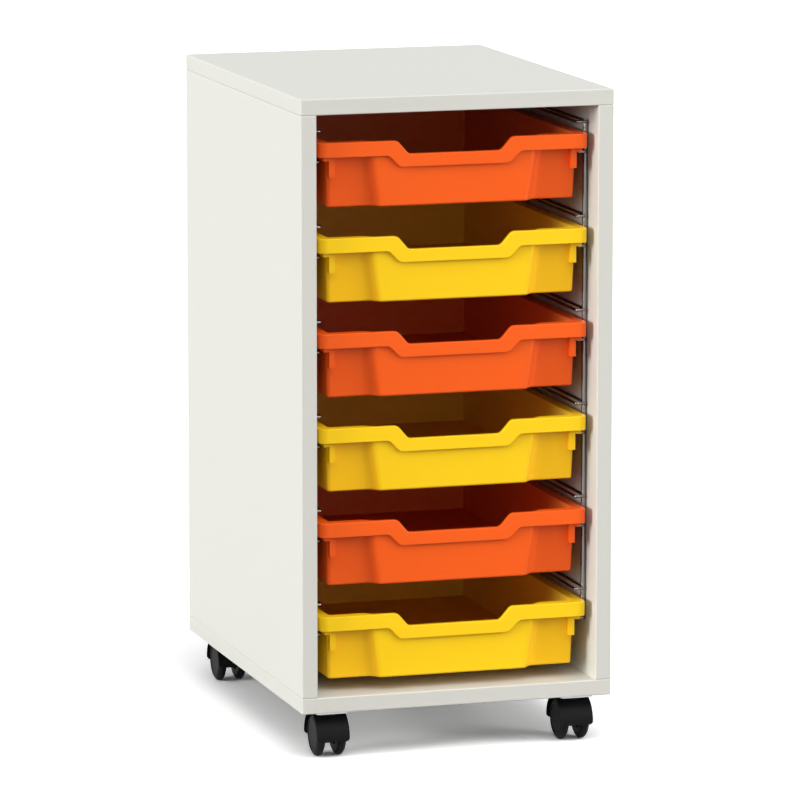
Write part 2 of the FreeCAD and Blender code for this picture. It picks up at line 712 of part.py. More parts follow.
def castor_wheel(side):
    """One wheel: crowned tread, shallow outer face, hollow around the hub and a blind bore."""
    near = WHEEL_GAP / 2
    far = near + WHEEL_WIDTH
    face = far - WHEEL_FACE_INSET

    def at(along, radius):
        return Vector(side * along, CASTOR_TRAIL, AXLE_Z + radius)

    def disc(radius, start, end):
        return cylinder(radius, end - start, at(start, 0), Vector(side, 0, 0))

    back_edge = (near, WHEEL_BACK_RADIUS)
    tread_near = (near + INNER_SHOULDER, WHEEL_RADIUS)
    tread_far = (far - OUTER_SHOULDER, WHEEL_RADIUS)
    face_edge = (far, WHEEL_FACE_RADIUS)
    near_middle = shoulder_middle(tread_near, back_edge, WHEEL_BACK_RADIUS)
    far_middle = shoulder_middle(tread_far, face_edge, WHEEL_FACE_RADIUS)
    outline = [
        Part.makeLine(at(near, 0), at(*back_edge)),
        Part.Arc(at(*back_edge), at(*near_middle), at(*tread_near)).toShape(),
        Part.makeLine(at(*tread_near), at(*tread_far)),
        Part.Arc(at(*tread_far), at(*far_middle), at(*face_edge)).toShape(),
        Part.makeLine(at(*face_edge), at(face, WHEEL_FACE_RADIUS - WHEEL_FACE_LIP)),
        Part.makeLine(at(face, WHEEL_FACE_RADIUS - WHEEL_FACE_LIP), at(face, 0)),
        Part.makeLine(at(face, 0), at(near, 0)),
    ]
    wheel = Part.Face(Part.Wire(outline)).revolve(at(0, 0), Vector(1, 0, 0), 360)
    hollow_end = near + HUB_HOLLOW_DEPTH
    hollow = disc(HUB_HOLLOW_RADIUS, near - 1, hollow_end).cut(disc(HUB_RADIUS, near - 1, hollow_end))
    bore = disc(AXLE_RADIUS + AXLE_CLEARANCE, near - 1, AXLE_LENGTH / 2 + 2 * AXLE_CLEARANCE)
    wheel = wheel.cut([hollow, bore])
    return wheel if wheel.Volume > 0 else wheel.reversed()


def castor_places():
    """Name and stem position of each castor."""
    places = {}
    for row, setback in (("front", FRONT_STEM_SETBACK), ("rear", REAR_STEM_SETBACK)):
        for name, side in SIDES.items():
            places[f"{row}_{name}"] = Vector(side * CASTOR_X, FRONT + setback, 0)
    return places


def make_castor_screws():
    """All the castor screws, four in each plate, heads facing the floor."""
    screws = []
    for place in castor_places().values():
        for hole in castor_plate_holes():
            screws.append(countersunk_screw(place + hole + Vector(0, 0, PLATE_BOTTOM), Vector(0, 0, -1)))
    return Part.makeCompound(screws)


def drill_castor_screw_holes(board):
    """Pilot holes in the base panel's underside."""
    depth = CASTOR_SCREW[1] - PLATE_THICKNESS + SCREW_HOLE_SPARE
    for place in castor_places().values():
        for hole in castor_plate_holes():
            mouth = place + hole + Vector(0, 0, CARCASS_BOTTOM)
            board = board.cut(cylinder(CASTOR_SCREW[0], depth, mouth))
    return board


# Assembly

def build_carcass():
    """Boards, edging and dowels by node name."""
    nodes = {
        "top_panel": make_horizontal_board(INNER_TOP),
        "base_panel": drill_castor_screw_holes(make_horizontal_board(CARCASS_BOTTOM)),
        "back_panel": back_panel_box(),
        "top_panel_edging": make_horizontal_edging(INNER_TOP),
        "base_panel_edging": make_horizontal_edging(CARCASS_BOTTOM),
        "carcass_dowels": make_dowels(),
    }
    for name, side in SIDES.items():
        nodes[f"{name}_side_panel"] = make_side_board(side)
        nodes[f"{name}_side_edging"] = make_side_edging(side)
    return nodes


def build_runners():
    """Posts, loops and screws of both runner frames by node name."""
    nodes = {}
    for name, side in SIDES.items():
        nodes[f"{name}_front_post"] = make_post(side, FRONT_POST_SETBACK)
        nodes[f"{name}_rear_post"] = make_post(side, REAR_POST_SETBACK)
        nodes[f"{name}_runner_loops"] = make_loops(side)
        nodes[f"{name}_runner_screws"] = make_runner_screws(side)
    return nodes


def build_trays():
    """The six trays by node name, tray_1 at the top."""
    tray_shape = make_tray_shape()
    return {f"tray_{index + 1}": make_tray(tray_shape, index) for index in range(TRAY_COUNT)}


def build_castors():
    """Every castor's pieces and the shared castor screws by node name."""
    pieces = {
        "castor_plate": castor_plate(),
        "castor_stem": castor_stem(),
        "castor_grip_ring": castor_grip_ring(),
        "castor_hood": castor_hood(),
        "castor_axle": castor_axle(),
        "castor_left_wheel": castor_wheel(SIDES["left"]),
        "castor_right_wheel": castor_wheel(SIDES["right"]),
    }
    nodes = {"castor_screws": make_castor_screws()}
    for place_name, place in castor_places().items():
        for piece_name, piece in pieces.items():
            node = piece.copy()
            node.translate(place)
            nodes[f"{place_name}_{piece_name}"] = node
    return nodes


def main():
    """Build every node and write one STEP file for each."""
    os.makedirs("parts", exist_ok=True)
    for build in (build_carcass, build_runners, build_trays, build_castors):
        for name, shape in build().items():
            valid = shape.isValid() and all(solid.isClosed() for solid in shape.Solids)
            print(f"{name}: {len(shape.Solids)} solid(s), {shape.Volume / 1000:.2f} cm3, valid {valid}")
            shape.exportStep(f"parts/{name}.step")


main()
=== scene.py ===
"""Looks of a mobile classroom tray unit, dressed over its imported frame.

Metres. The origin is on the floor under the middle of the carcass, +Z is up, +X is to
the right and the open front faces -Y.
"""
import itertools
import logging
import math
from dataclasses import dataclass, field
from enum import Enum
from typing import Any

import bmesh
import bpy
from mathutils import Matrix, Vector


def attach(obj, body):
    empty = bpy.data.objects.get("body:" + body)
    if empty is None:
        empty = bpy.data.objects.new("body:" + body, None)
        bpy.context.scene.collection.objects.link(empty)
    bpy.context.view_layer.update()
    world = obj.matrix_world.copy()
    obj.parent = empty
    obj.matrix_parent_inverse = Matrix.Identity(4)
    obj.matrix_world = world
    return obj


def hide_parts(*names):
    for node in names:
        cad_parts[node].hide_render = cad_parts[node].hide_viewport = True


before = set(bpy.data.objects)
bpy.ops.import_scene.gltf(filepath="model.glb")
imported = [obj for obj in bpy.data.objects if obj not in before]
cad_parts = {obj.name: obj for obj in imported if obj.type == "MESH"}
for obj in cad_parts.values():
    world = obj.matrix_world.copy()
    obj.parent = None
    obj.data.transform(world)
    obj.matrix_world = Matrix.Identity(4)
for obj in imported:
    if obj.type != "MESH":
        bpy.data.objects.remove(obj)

LOG = logging.getLogger("tray_unit")
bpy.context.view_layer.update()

Colour = tuple[float, float, float]
Place = tuple[float, float, float]
PlaceAndDirection = tuple[Vector, Vector]


# Node trees

def add_node(tree: bpy.types.NodeTree, kind: str, settings: dict[str, Any] | None = None,
             inputs: dict[Any, Any] | None = None) -> bpy.types.Node:
    """Add a node, set its settings, then set or link its inputs.

    Args:
        tree: the tree that gets the node.
        kind: the node's type.
        settings: attributes of the node.
        inputs: numbers, colours, objects or sockets by input name or index.

    Returns:
        The new node.
    """
    node = tree.nodes.new(kind)
    for name, setting in (settings or {}).items():
        setattr(node, name, setting)
    for name, given in (inputs or {}).items():
        if isinstance(given, bpy.types.NodeSocket):
            tree.links.new(given, node.inputs[name])
        else:
            node.inputs[name].default_value = given
    return node


class Value:
    """One number in a shader graph. Its operators add Math nodes."""

    def __init__(self, graph: "Graph", socket: Any) -> None:
        """Wrap a socket.

        Args:
            graph: the graph that new nodes are added to.
            socket: the output socket that carries the number.
        """
        self.graph = graph
        self.socket = socket

    def _math(self, operation: str, *terms: Any, clamp: bool = False) -> "Value":
        """Add one Math node.

        Args:
            operation: the node's operation.
            terms: numbers or Values for its inputs, in order.
            clamp: whether the result is kept between 0 and 1.

        Returns:
            The node's result.
        """
        settings = {"operation": operation, "use_clamp": clamp}
        node = self.graph.node("ShaderNodeMath", settings, dict(enumerate(terms)))
        return Value(self.graph, node.outputs[0])

    def __add__(self, other: Any) -> "Value":
        """Sum."""
        return self._math("ADD", self, other)

    def __sub__(self, other: Any) -> "Value":
        """Difference."""
        return self._math("SUBTRACT", self, other)

    def __rsub__(self, other: Any) -> "Value":
        """Difference with a number on the left."""
        return self._math("SUBTRACT", other, self)

    def __mul__(self, other: Any) -> "Value":
        """Product."""
        return self._math("MULTIPLY", self, other)

    def __mod__(self, other: Any) -> "Value":
        """Remainder, never negative."""
        return self._math("FLOORED_MODULO", self, other)

    __radd__ = __add__
    __rmul__ = __mul__

    def smaller(self, other: Any) -> "Value":
        """Smaller of two numbers."""
        return self._math("MINIMUM", self, other)

    def larger(self, other: Any) -> "Value":
        """Larger of two numbers."""
        return self._math("MAXIMUM", self, other)

    def distance(self, place: float) -> "Value":
        """Unsigned distance from a number."""
        return self._math("ABSOLUTE", self - place)

    def root(self) -> "Value":
        """Square root."""
        return self._math("SQRT", self)

    def swing(self, amount: float) -> "Value":
        """A number between 0 and 1 as a swing about 0, of this amount from end to end."""
        return (self - 0.5) * amount

    def ramp(self, low: float, high: float) -> "Value":
        """Rise from 0 at low to 1 at high, level outside; high may be below low."""
        return self._math("MULTIPLY", self - low, 1 / (high - low), clamp=True)


class Graph:
    """Node tree of one material, with a Principled shader at its end."""

    def __init__(self, name: str) -> None:
        """Start an empty material.

        Args:
            name: the material's name.
        """
        self.material = bpy.data.materials.new(name)
        self.material.use_nodes = True
        self.tree = self.material.node_tree
        self.tree.nodes.clear()
        self.output = self.node("ShaderNodeOutputMaterial")

    def node(self, kind: str, settings: dict[str, Any] | None = None,
             inputs: dict[Any, Any] | None = None) -> bpy.types.Node:
        """Add a node to this tree.

        Args:
            kind: the node's type.
            settings: attributes of the node.
            inputs: numbers, colours, sockets or Values by input name or index.

        Returns:
            The new node.
        """
        plain = {name: given.socket if isinstance(given, Value) else given
                 for name, given in (inputs or {}).items()}
        return add_node(self.tree, kind, settings, plain)

    def place(self) -> Any:
        """Object coordinates, in metres on the whole unit."""
        return self.node("ShaderNodeTexCoord").outputs["Object"]

    def axes(self, place: Any) -> tuple[Value, Value, Value]:
        """Split a vector into its three numbers."""
        node = self.node("ShaderNodeSeparateXYZ", None, {0: place})
        return tuple(Value(self, output) for output in node.outputs)

    def stretched(self, place: Any, scale: Place) -> Any:
        """Vector with each axis multiplied by its own factor."""
        node = self.node("ShaderNodeVectorMath", {"operation": "MULTIPLY"}, {0: place, 1: scale})
        return node.outputs[0]

    def noise(self, place: Any, scale: float, detail: float = 2.0) -> Value:
        """Soft noise between 0 and 1."""
        node = self.node("ShaderNodeTexNoise", None,
                         {"Vector": place, "Scale": scale, "Detail": detail})
        return Value(self, node.outputs[0])

    def cells(self, place: Any, scale: float) -> Value:
        """Distance to the nearest point of a scattered set."""
        node = self.node("ShaderNodeTexVoronoi", None, {"Vector": place, "Scale": scale})
        return Value(self, node.outputs["Distance"])

    def blend(self, factor: Any, low: Any, high: Any) -> Any:
        """Colour between two colours.

        Args:
            factor: 0 for low and 1 for high.
            low: colour or socket.
            high: colour or socket.

        Returns:
            The colour socket.
        """
        settings = {"data_type": "RGBA", "clamp_factor": True}
        ends = [end if isinstance(end, bpy.types.NodeSocket) else (*end, 1.0)
                for end in (low, high)]
        node = self.node("ShaderNodeMix", settings, {0: factor, 6: ends[0], 7: ends[1]})
        return node.outputs[2]

    def bump(self, height: Value, depth: float) -> Any:
        """Normal of a relief.

        Args:
            height: relief between 0 and 1.
            depth: metres from its lowest to its highest point.

        Returns:
            The normal socket.
        """
        node = self.node("ShaderNodeBump", None,
                         {"Strength": 1.0, "Distance": depth, "Height": height})
        return node.outputs[0]

    def finish(self, **inputs: Any) -> bpy.types.Material:
        """Add the Principled shader.

        Args:
            inputs: its inputs, with underscores for the spaces in their names.

        Returns:
            The finished material.
        """
        named = {name.replace("_", " "): given for name, given in inputs.items()}
        shader = self.node("ShaderNodeBsdfPrincipled", None, named)
        self.tree.links.new(shader.outputs[0], self.output.inputs["Surface"])
        return self.material


# Finishes

def scaled(colour: Colour, factor: float) -> Colour:
    """Colour with every channel multiplied by a factor."""
    return tuple(channel * factor for channel in colour)


@dataclass(frozen=True)
class Laminate:
    """Pale melamine face of a board: a fine pearl relief and faint clouding."""

    name: str
    colour: Colour = (0.655, 0.655, 0.603)
    shade: float = 0.975
    roughness: float = 0.42
    cloud_scale: float = 7.0
    pearl_scale: float = 620.0
    specks_per_pearl: float = 2.4
    pearl_depth: float = 0.000018

    def material(self) -> bpy.types.Material:
        """Build the material."""
        graph = Graph(self.name)
        place = graph.place()
        clouds = graph.noise(place, self.cloud_scale, 3.0)
        speck = graph.noise(place, self.pearl_scale * self.specks_per_pearl, 1.0)
        pearl = graph.cells(place, self.pearl_scale)
        tone = clouds * 0.5 + speck * 0.5
        relief = pearl * 0.7 + speck * 0.3
        return graph.finish(
            Base_Color=graph.blend(tone, scaled(self.colour, self.shade), self.colour),
            Roughness=self.roughness + speck.swing(0.10) + clouds.swing(0.05),
            Normal=graph.bump(relief, self.pearl_depth))


@dataclass(frozen=True)
class Edging:
    """Plastic edging strip: the board's colour, smoother, with the trimmer's faint ripple."""

    name: str
    colour: Colour = (0.645, 0.637, 0.583)
    shade: float = 0.970
    roughness: float = 0.36
    cloud_scale: float = 11.0
    ripple_scale: float = 240.0
    grain_scale: float = 1500.0
    ripple_depth: float = 0.000010

    def material(self) -> bpy.types.Material:
        """Build the material."""
        graph = Graph(self.name)
        place = graph.place()
        clouds = graph.noise(place, self.cloud_scale, 2.0)
        ripple = graph.noise(place, self.ripple_scale, 1.0)
        grain = graph.noise(place, self.grain_scale, 1.0)
        relief = ripple * 0.8 + grain * 0.2
        return graph.finish(
            Base_Color=graph.blend(clouds, scaled(self.colour, self.shade), self.colour),
            Roughness=self.roughness + grain.swing(0.08),
            Normal=graph.bump(relief, self.ripple_depth))


@dataclass(frozen=True)
class TrayPlastic:
    """Moulded tray plastic: satin grain, a smoother, brighter rim, painted shade behind the front
    panel and a paler inside that is partly scuffs and partly painted light.

    Heights count from the underside of each tray, and the trays are one pitch apart.
    """

    name: str
    colour: Colour
    deep: Colour
    # body: painted shade, a darker colour for the shade in the recesses behind the front panel.
    body: Colour
    # scuffed: a paler inside colour, partly scuffs and partly painted light.
    scuffed_and_painted_light: Colour
    lowest_underside: float = 0.088
    pitch: float = 0.1064
    rim_from: float = 0.0570
    rim_soft: float = 0.0015
    recess_shade_from_y: float = -0.2230
    recess_shade_soft: float = 0.0024
    middle_y: float = -0.0175
    scuffs_and_painted_light_from_y: float = -0.2125
    scuffs_and_painted_light_soft: float = 0.012
    roughness: float = 0.36
    cloud_scale: float = 9.0
    flow_scale: float = 60.0
    streak_scale: float = 90.0
    grain_scale: float = 1150.0
    grain_depth: float = 0.000022

    def material(self) -> bpy.types.Material:
        """Build the material."""
        graph = Graph(self.name)
        place = graph.place()
        _, y, z = graph.axes(place)
        height = (z - self.lowest_underside) % self.pitch
        rim = height.ramp(self.rim_from - self.rim_soft, self.rim_from)
        clouds = graph.noise(place, self.cloud_scale, 3.0)
        flow = graph.noise(graph.stretched(place, (1.0, 1.0, 0.25)), self.flow_scale, 2.0)
        grain = graph.noise(place, self.grain_scale, 2.0)
        thickness = clouds.ramp(0.25, 0.75) * 0.55 + flow * 0.20 + rim * 0.25
        relief = grain * (1 - rim * 0.75)
        # Painted shade: behind the front panel, with the rim left out, the plastic takes the darker
        # body colour for the shade in the recesses.
        painted_recess_shade = y.ramp(self.recess_shade_from_y - self.recess_shade_soft, self.recess_shade_from_y)
        plastic = graph.blend(thickness, self.deep, self.colour)
        plastic = graph.blend(painted_recess_shade * (1 - rim), plastic, self.body)
        return graph.finish(
            # The inside is paler, partly as scuffs and partly as painted light.
            Base_Color=graph.blend(self.scuffs_and_painted_light_mask(graph, place), plastic, self.scuffed_and_painted_light),
            Roughness=self.roughness - rim * 0.05 + grain.swing(0.10),
            Specular_IOR_Level=0.25,
            Normal=graph.bump(relief, self.grain_depth))

    def scuffs_and_painted_light_mask(self, graph: Graph, place: Any) -> Value:
        """Where a wall or the floor faces the tray's inside, streaked: partly scuffs and partly
        painted light that makes the inside paler.

        Args:
            graph: the material's graph.
            place: the object coordinates.

        Returns:
            0 outside and close to 1 where the inside is palest.
        """
        x, y, _ = graph.axes(place)
        facing = graph.node("ShaderNodeNewGeometry").outputs["True Normal"]
        across, along, _ = graph.axes(facing)
        inwards = (across * x + along * (y - self.middle_y)).ramp(-0.02, -0.06)
        behind_rim = y.ramp(self.scuffs_and_painted_light_from_y, self.scuffs_and_painted_light_from_y + self.scuffs_and_painted_light_soft)
        streaks = graph.noise(graph.stretched(place, (1.0, 0.15, 1.0)), self.streak_scale, 4.0)
        return inwards * behind_rim * (0.70 + streaks * 0.45)


@dataclass(frozen=True)
class Plating:
    """Plated metal: polished chrome on the wire, its colour darkened as painted shade, or duller
    zinc with a faint spangle.
    """

    name: str
    colour: Colour
    roughness: float
    spangle: float
    spangle_scale: float = 180.0
    haze_scale: float = 55.0
    grain_scale: float = 1600.0
    grain_depth: float = 0.000004

    def material(self) -> bpy.types.Material:
        """Build the material."""
        graph = Graph(self.name)
        place = graph.place()
        haze = graph.noise(place, self.haze_scale, 3.0)
        cells = graph.cells(place, self.spangle_scale)
        grain = graph.noise(place, self.grain_scale, 1.0)
        shade = scaled(self.colour, 1 - 0.25 * self.spangle - 0.03)
        tone = cells * self.spangle + haze * (1 - self.spangle)
        return graph.finish(
            Base_Color=graph.blend(tone, shade, self.colour),
            Metallic=1.0,
            Roughness=self.roughness + haze.swing(0.08) + cells * (0.10 * self.spangle),
            Normal=graph.bump(grain, self.grain_depth))


@dataclass(frozen=True)
class WeldedMetal:
    """Plated weld bead: the chrome over a rippled, slightly dull surface, its colour darkened like
    the wire's as painted shade.
    """

    name: str
    # Darkened like the wire's colour, as painted shade.
    colour: Colour = (0.22, 0.21, 0.205)
    shade: float = 0.7
    roughness: float = 0.34
    ripple_scale: float = 900.0
    ripple_depth: float = 0.00012

    def material(self) -> bpy.types.Material:
        """Build the material."""
        graph = Graph(self.name)
        place = graph.place()
        ripple = graph.noise(place, self.ripple_scale, 2.0)
        crests = ripple.ramp(0.3, 0.6)
        return graph.finish(
            Base_Color=graph.blend(crests, scaled(self.colour, self.shade), self.colour),
            Metallic=1.0,
            Roughness=self.roughness + ripple.swing(0.2),
            Normal=graph.bump(ripple, self.ripple_depth))


@dataclass(frozen=True)
class Beech:
    """Plain beech: grain along the dowel with short dark flecks."""

    name: str
    light: Colour = (0.60, 0.40, 0.22)
    dark: Colour = (0.42, 0.25, 0.12)
    roughness: float = 0.62
    grain_scale: float = 900.0
    fleck_scale: float = 1800.0
    grain_depth: float = 0.00005

    def material(self) -> bpy.types.Material:
        """Build the material."""
        graph = Graph(self.name)
        place = graph.place()
        grain = graph.noise(graph.stretched(place, (1.0, 1.0, 0.05)), self.grain_scale, 4.0)
        fleck = graph.noise(graph.stretched(place, (1.0, 1.0, 0.12)), self.fleck_scale, 1.0)
        tone = grain.ramp(0.35, 0.65) * (1 - fleck.ramp(0.62, 0.70) * 0.8)
        return graph.finish(
            Base_Color=graph.blend(tone, self.dark, self.light),
            Roughness=self.roughness + grain.swing(0.2),
            Normal=graph.bump(grain, self.grain_depth))


@dataclass(frozen=True)
class BlackNylon:
    """Black castor moulding: fine grain and a faint bloom."""

    name: str
    colour: Colour = (0.0024, 0.0024, 0.0025)
    bloom: Colour = (0.0044, 0.0044, 0.0046)
    roughness: float = 0.52
    bloom_scale: float = 85.0
    grain_scale: float = 1400.0
    grain_depth: float = 0.000025

    def material(self) -> bpy.types.Material:
        """Build the material."""
        graph = Graph(self.name)
        place = graph.place()
        bloom = graph.noise(place, self.bloom_scale, 3.0)
        grain = graph.noise(place, self.grain_scale, 2.0)
        return graph.finish(
            Base_Color=graph.blend(bloom.ramp(0.40, 0.80), self.colour, self.bloom),
            Roughness=self.roughness + grain.swing(0.14) + bloom.swing(0.10),
            Specular_IOR_Level=0.11,
            Normal=graph.bump(grain, self.grain_depth))


@dataclass(frozen=True)
class RolledTread:
    """Black wheel: a smooth face, and a tread that floor dust has dulled."""

    name: str
    front_axle_y: float
    rear_axle_y: float
    axle_height: float = 0.024
    tread_from: float = 0.0215
    tread_to: float = 0.0237
    colour: Colour = (0.0030, 0.0030, 0.0032)
    dust: Colour = (0.0085, 0.0082, 0.0078)
    roughness: float = 0.46
    patch_scale: float = 160.0
    grain_scale: float = 1500.0
    relief_depth: float = 0.00003

    def material(self) -> bpy.types.Material:
        """Build the material."""
        graph = Graph(self.name)
        place = graph.place()
        _, y, z = graph.axes(place)
        along = y.distance(self.front_axle_y).smaller(y.distance(self.rear_axle_y))
        rise = z - self.axle_height
        radius = (along * along + rise * rise).root()
        tread = radius.ramp(self.tread_from, self.tread_to)
        patches = graph.noise(place, self.patch_scale, 3.0)
        grain = graph.noise(place, self.grain_scale, 1.0)
        worn = tread * patches.ramp(0.35, 0.75)
        relief = patches * tread * 0.6 + grain * 0.4
        return graph.finish(
            Base_Color=graph.blend(worn * 0.7, self.colour, self.dust),
            Roughness=self.roughness + worn * 0.25 + grain.swing(0.10),
            Specular_IOR_Level=0.12,
            Normal=graph.bump(relief, self.relief_depth))


# Geometry Nodes

FACING = "facing"


class PieceScatter:
    """Geometry Nodes tree that puts a piece on every point of a mesh.

    Each point's facing attribute says where the piece's own +Z goes.
    """

    def __init__(self, name: str) -> None:
        """Build the tree.

        Args:
            name: the tree's name.
        """
        self.tree = bpy.data.node_groups.new(name, "GeometryNodeTree")
        sockets = (("Points", "NodeSocketGeometry"), ("Piece", "NodeSocketObject"),
                   ("Finish", "NodeSocketMaterial"), ("Largest turn", "NodeSocketFloat"),
                   ("Smallest size", "NodeSocketFloat"), ("Seed", "NodeSocketInt"))
        self.identifiers = {}
        for label, kind in sockets:
            item = self.tree.interface.new_socket(label, in_out="INPUT", socket_type=kind)
            self.identifiers[label] = item.identifier
        self.tree.interface.new_socket("Geometry", in_out="OUTPUT",
                                       socket_type="NodeSocketGeometry")
        self._wire()

    def _wire(self) -> None:
        """Add and link the nodes."""
        tree = self.tree
        given = add_node(tree, "NodeGroupInput").outputs
        facing = add_node(tree, "GeometryNodeInputNamedAttribute", {"data_type": "FLOAT_VECTOR"},
                          {"Name": FACING})
        lined_up = add_node(tree, "FunctionNodeAlignRotationToVector", {"axis": "Z"},
                            {"Vector": facing.outputs[0]})
        turn = add_node(tree, "FunctionNodeRandomValue", {"data_type": "FLOAT"},
                        {2: 0.0, 3: given["Largest turn"], "Seed": given["Seed"]})
        spin = add_node(tree, "ShaderNodeCombineXYZ", None, {2: turn.outputs[1]})
        spun = add_node(tree, "FunctionNodeRotateRotation", {"rotation_space": "LOCAL"},
                        {0: lined_up.outputs[0], 1: spin.outputs[0]})
        size = add_node(tree, "FunctionNodeRandomValue", {"data_type": "FLOAT"},
                        {2: given["Smallest size"], 3: 1.0, "Seed": given["Seed"]})
        piece = add_node(tree, "GeometryNodeObjectInfo", {"transform_space": "ORIGINAL"},
                         {"Object": given["Piece"]})
        placed = add_node(tree, "GeometryNodeInstanceOnPoints", None,
                          {"Points": given["Points"], "Instance": piece.outputs["Geometry"],
                           "Rotation": spun.outputs[0], "Scale": size.outputs[1]})
        real = add_node(tree, "GeometryNodeRealizeInstances", None, {0: placed.outputs[0]})
        dressed = add_node(tree, "GeometryNodeSetMaterial", None,
                           {"Geometry": real.outputs[0], "Material": given["Finish"]})
        add_node(tree, "NodeGroupOutput", None, {0: dressed.outputs[0]})

    def scatter(self, name: str, piece: bpy.types.Object, places: list[PlaceAndDirection],
                finish: bpy.types.Material, seed: int, largest_turn: float,
                smallest_size: float = 1.0) -> bpy.types.Object:
        """Put the piece on every place and turn the result into one plain mesh.

        Args:
            name: the new object's name.
            piece: the piece, drawn about its own origin with +Z outwards.
            places: point and outward direction of each copy.
            finish: the material of the result.
            seed: seed of the turns and sizes.
            largest_turn: radians that a copy may be turned about its outward direction.
            smallest_size: scale of the smallest copy, the largest being 1.

        Returns:
            The new object.
        """
        mesh = bpy.data.meshes.new(name)
        mesh.from_pydata([point for point, _ in places], [], [])
        facing = mesh.attributes.new(FACING, "FLOAT_VECTOR", "POINT")
        for index, (_, direction) in enumerate(places):
            facing.data[index].vector = direction
        result = add_object(name, mesh)
        modifier = result.modifiers.new("Scatter", "NODES")
        modifier.node_group = self.tree
        settings = {"Piece": piece, "Finish": finish, "Largest turn": largest_turn,
                    "Smallest size": smallest_size, "Seed": seed}
        for label, setting in settings.items():
            modifier[self.identifiers[label]] = setting
        return made_plain(result)


# Mesh helpers

SCREW_SIDES = 32


def add_object(name: str, data: bpy.types.ID) -> bpy.types.Object:
    """Link a new object for a mesh, lamp or camera."""
    result = bpy.data.objects.new(name, data)
    bpy.context.scene.collection.objects.link(result)
    return result


def object_from(name: str, work: bmesh.types.BMesh) -> bpy.types.Object:
    """Link a new object for a work mesh, and free the work mesh."""
    mesh = bpy.data.meshes.new(name)
    work.to_mesh(mesh)
    work.free()
    return add_object(name, mesh)


def made_plain(piece: bpy.types.Object) -> bpy.types.Object:
    """Replace an object's mesh by its evaluated mesh and drop its modifiers.

    Args:
        piece: the object.

    Returns:
        The same object.
    """
    bpy.context.view_layer.update()
    evaluated = piece.evaluated_get(bpy.context.evaluated_depsgraph_get())
    plain = bpy.data.meshes.new_from_object(evaluated)
    piece.modifiers.clear()
    old = piece.data
    piece.data = plain
    bpy.data.meshes.remove(old)
    return piece


def turned_mesh(name: str, profile: list[tuple[float, float]], sides: int) -> bpy.types.Object:
    """Closed solid of revolution about Z.

    Args:
        name: the object's name.
        profile: radius and height from the lower pole to the upper, both at radius 0.
        sides: how many sides the turned solid has.

    Returns:
        The new object.
    """
    work = bmesh.new()
    rings = []
    for radius, height in profile[1:-1]:
        ring = []
        for index in range(sides):
            angle = 2 * math.pi * index / sides
            point = (radius * math.cos(angle), radius * math.sin(angle), height)
            ring.append(work.verts.new(point))
        rings.append(ring)
    low = work.verts.new((0, 0, profile[0][1]))
    high = work.verts.new((0, 0, profile[-1][1]))
    for index in range(sides):
        following = (index + 1) % sides
        work.faces.new((low, rings[0][following], rings[0][index]))
        work.faces.new((high, rings[-1][index], rings[-1][following]))
        for lower, upper in zip(rings, rings[1:]):
            work.faces.new((lower[index], lower[following], upper[following], upper[index]))
    bmesh.ops.recalc_face_normals(work, faces=work.faces)
    return object_from(name, work)


def shank_profile(radius: float, length: float, top: float) -> list[tuple[float, float]]:
    """Profile of a pointed shank, from its tip at -length up to a height."""
    tip_radius = radius * 0.2
    tip_length = 0.003
    return [(0, -length), (tip_radius, -length), (radius, tip_length - length), (radius, top)]


def cut_cross(piece: bpy.types.Object, radius: float, top: float, depth: float,
              width: float = 0.0009) -> None:
    """Cut a tapered cross recess into the top of a screw head.

    Args:
        piece: the head, about Z.
        radius: reach of the cross at its mouth.
        top: height of the head's top.
        depth: depth of the recess.
        width: width of its bars at the mouth.
    """
    reach_at_bottom = 0.45
    width_at_bottom = 0.75
    for turn in (0.0, math.pi / 2):
        work = bmesh.new()
        bmesh.ops.create_cube(work, size=2.0)
        for corner in work.verts:
            low = corner.co.z < 0
            corner.co.x *= radius * (reach_at_bottom if low else 1.0)
            corner.co.y *= width / 2 * (width_at_bottom if low else 1.0)
            corner.co.z = top - depth if low else top + depth * 0.5
        bmesh.ops.rotate(work, verts=work.verts, matrix=Matrix.Rotation(turn, 3, "Z"))
        bar = object_from("Cross bar", work)
        cut = piece.modifiers.new("Cross", "BOOLEAN")
        cut.operation = "DIFFERENCE"
        cut.solver = "EXACT"
        cut.object = bar
        made_plain(piece)
        bpy.data.objects.remove(bar)


def smooth_by_angle(piece: bpy.types.Object, degrees: float = 35.0) -> None:
    """Shade smooth, with edges sharper than an angle kept sharp.

    Args:
        piece: the object.
        degrees: the smallest angle that stays sharp.
    """
    mesh = piece.data
    mesh.shade_smooth()
    mesh.set_sharp_from_angle(angle=math.radians(degrees))


def dress(node_names: list[str], material: bpy.types.Material) -> None:
    """Give nodes of the frame a material."""
    for name in node_names:
        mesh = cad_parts[name].data
        mesh.materials.clear()
        mesh.materials.append(material)
        LOG.info("%s wears %s", name, material.name)


# Sub-assemblies

class Row(Enum):
    """Front or rear pair of castors, with the stems' place along Y."""

    FRONT = -0.2176
    REAR = 0.1973


class Side(Enum):
    """Left or right half, with its sign along X."""

    LEFT = -1
    RIGHT = 1


@dataclass
class Carcass:
    """Boards, edging and dowels."""

    board: Laminate = field(default_factory=lambda: Laminate("Pale laminate"))
    back: Laminate = field(default_factory=lambda: Laminate(
        "Back board laminate", colour=(0.655, 0.655, 0.605), roughness=0.46, pearl_scale=500.0))
    edging: Edging = field(default_factory=lambda: Edging("Board edging"))
    dowel: Beech = field(default_factory=lambda: Beech("Beech dowel"))

    def build(self) -> None:
        """Dress every board, strip and dowel."""
        dress(["top_panel", "base_panel", "left_side_panel", "right_side_panel"],
              self.board.material())
        dress(["back_panel"], self.back.material())
        dress(["top_panel_edging", "base_panel_edging", "left_side_edging", "right_side_edging"],
              self.edging.material())
        dress(["carcass_dowels"], self.dowel.material())


